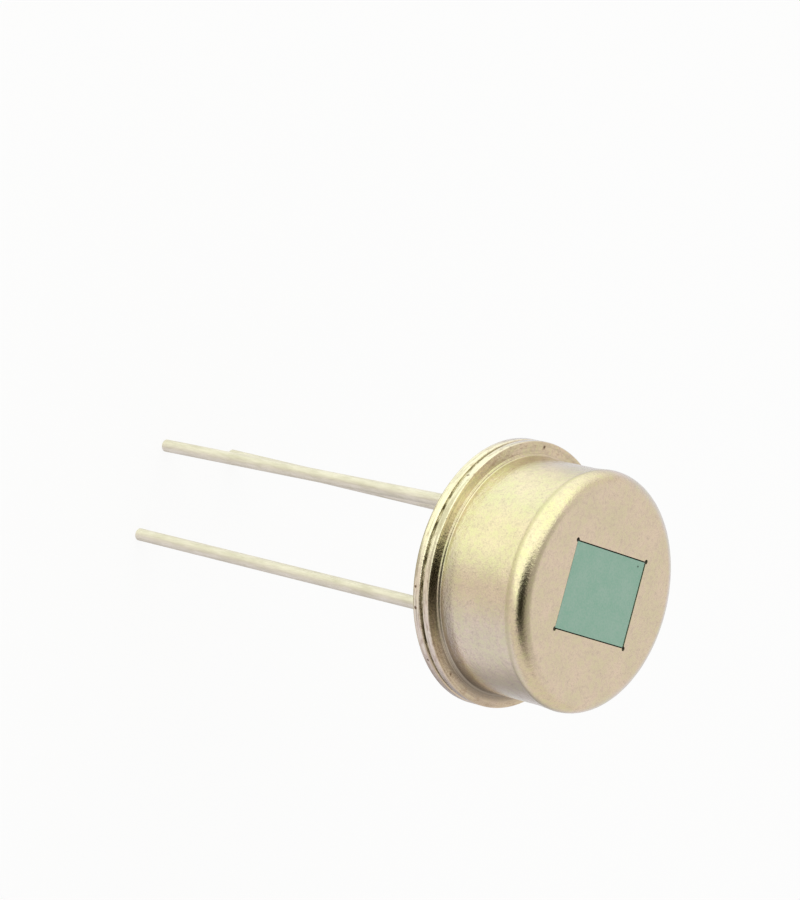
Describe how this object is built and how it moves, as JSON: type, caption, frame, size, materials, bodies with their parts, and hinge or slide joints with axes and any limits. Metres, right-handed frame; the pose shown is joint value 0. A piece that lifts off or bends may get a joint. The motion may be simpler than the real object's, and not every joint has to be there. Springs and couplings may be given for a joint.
{
  "type": "passive infrared sensor",
  "caption": "Round metal-can infrared motion sensor with a flush rectangular filter window, a welded flange with an index tab, and three wire leads.",
  "frame": {"origin": "centre of the header's underside, the face that sits on the circuit board", "axes": "+Z along the can's axis from the board to the window, +X along the window's long side towards the index tab, +Y along its short side; the leads run along -Z"},
  "size_m": [0.01, 0.0092, 0.0198],
  "materials": {
    "can_nickel": "satin nickel plate over drawn steel",
    "header_nickel": "nickel plate over stamped steel",
    "filter_coating": "matte blue-green coating on an opaque silicon plate",
    "dark_epoxy": "cured epoxy",
    "seal_glass": "fused dark sealing glass",
    "tinned_wire": "dull tin plate, slightly wavy",
    "braze": "silver braze",
    "solder": "bright solder",
    "board_ceramic": "white alumina",
    "conductor": "fired silver film",
    "element_ceramic": "ground pyroelectric ceramic",
    "absorber": "dark absorbing metal film",
    "conductive_adhesive": "silver-filled adhesive",
    "moulding": "moulded epoxy",
    "resistor_body": "coated alumina chip",
    "terminal": "tinned terminal"
  },
  "bodies": {
    "root": {"can": "can_nickel", "infrared_filter": "filter_coating", "filter_adhesive": "dark_epoxy", "header": "header_nickel", "glass_seal_drain": "seal_glass", "glass_seal_source": "seal_glass", "ground_braze": "braze", "lead_drain": "tinned_wire", "lead_source": "tinned_wire", "lead_ground": "tinned_wire", "solder_joint_drain": "solder", "solder_joint_source": "solder", "solder_joint_ground": "solder", "substrate": "board_ceramic", "upper_tracks": "conductor", "lower_tracks": "conductor", "gate_via": "conductor", "element_support_left": "conductive_adhesive", "element_support_right": "conductive_adhesive", "pyroelectric_element": "element_ceramic", "front_electrode_left": "absorber", "front_electrode_right": "absorber", "transistor_body": "moulding", "transistor_leg_drain": "terminal", "transistor_leg_source": "terminal", "transistor_leg_gate": "terminal", "gate_resistor": "resistor_body", "resistor_cap_gate": "terminal", "resistor_cap_ground": "terminal"}
  },
  "joints": []
}
